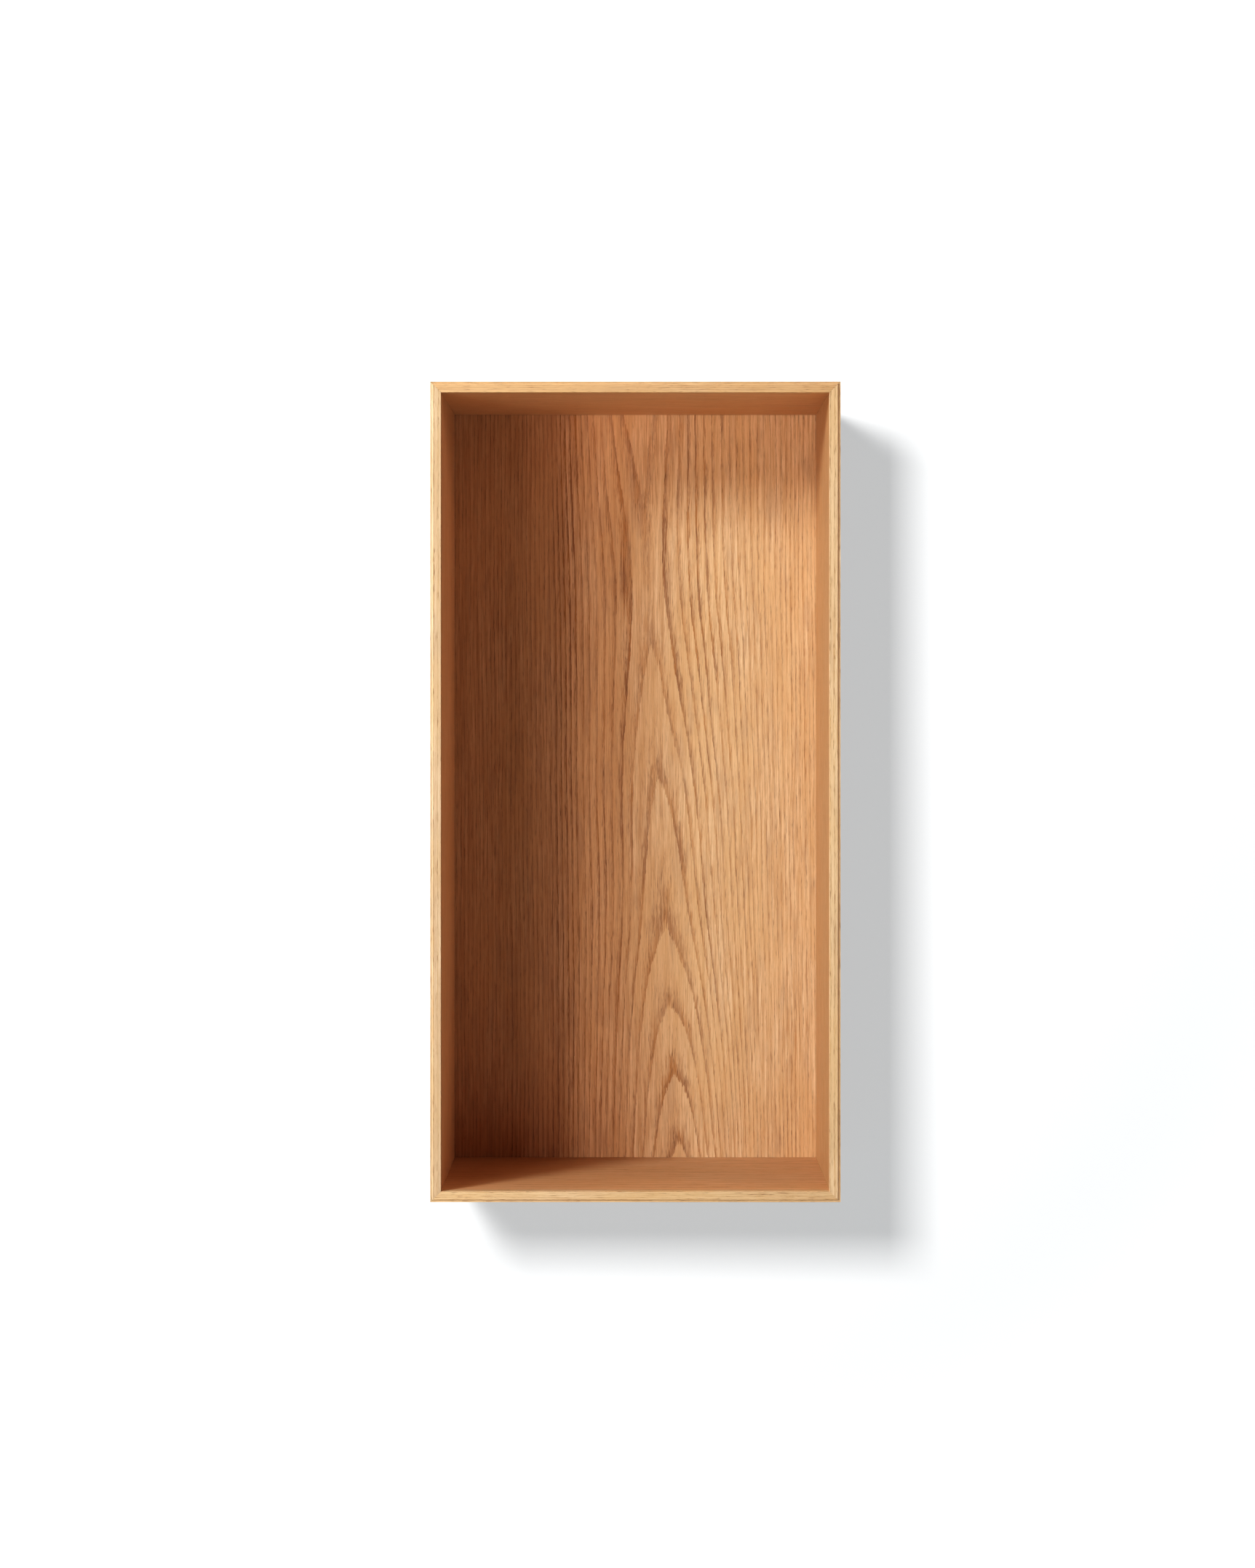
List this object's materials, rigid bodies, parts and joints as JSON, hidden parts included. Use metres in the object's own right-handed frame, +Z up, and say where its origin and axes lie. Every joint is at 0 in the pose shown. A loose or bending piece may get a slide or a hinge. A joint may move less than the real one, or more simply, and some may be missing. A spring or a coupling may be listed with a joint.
{
  "type": "shadow box",
  "caption": "Tall open-fronted oak display box with mitred corners, a solid edging and a veneered back, hung on an interlocking wall rail.",
  "frame": {"origin": "centre of the wall rail's back face, on the wall", "axes": "+X to the right as seen from the open front, +Y into the wall, +Z up; the open front faces -Y"},
  "size_m": [0.3, 0.15, 0.6],
  "materials": {
    "carcase_veneer": "satin clear-lacquered oak veneer, grain along each board",
    "back_veneer": "satin clear-lacquered crown-cut oak veneer, grain upright",
    "solid_oak": "satin clear-lacquered solid oak, fine open pores",
    "joint_tongue": "sawn plywood",
    "softwood_batten": "planed softwood, unfinished",
    "rail_aluminium": "extruded, natural satin anodised",
    "screw_steel": "zinc-plated",
    "spacer_rubber": "matt soft rubber"
  },
  "bodies": {
    "wall_mount": {"wall_rail": "rail_aluminium"},
    "box": {"left_side_panel": "carcase_veneer", "right_side_panel": "carcase_veneer", "top_panel": "carcase_veneer", "bottom_panel": "carcase_veneer", "left_front_lipping": "solid_oak", "right_front_lipping": "solid_oak", "top_front_lipping": "solid_oak", "bottom_front_lipping": "solid_oak", "back_panel": "back_veneer", "top_left_spline": "joint_tongue", "top_right_spline": "joint_tongue", "bottom_left_spline": "joint_tongue", "bottom_right_spline": "joint_tongue", "hanging_batten": "softwood_batten", "lower_batten": "softwood_batten", "box_rail": "rail_aluminium", "box_rail_screw_1": "screw_steel", "box_rail_screw_2": "screw_steel", "box_rail_screw_3": "screw_steel", "box_rail_screw_4": "screw_steel", "left_wall_spacer": "spacer_rubber", "right_wall_spacer": "spacer_rubber"}
  },
  "joints": [
    {"name": "lift_off", "type": "slide", "parent": "wall_mount", "child": "box", "axis": [0, 0, 1], "range_m": [0, 0.012]}
  ]
}
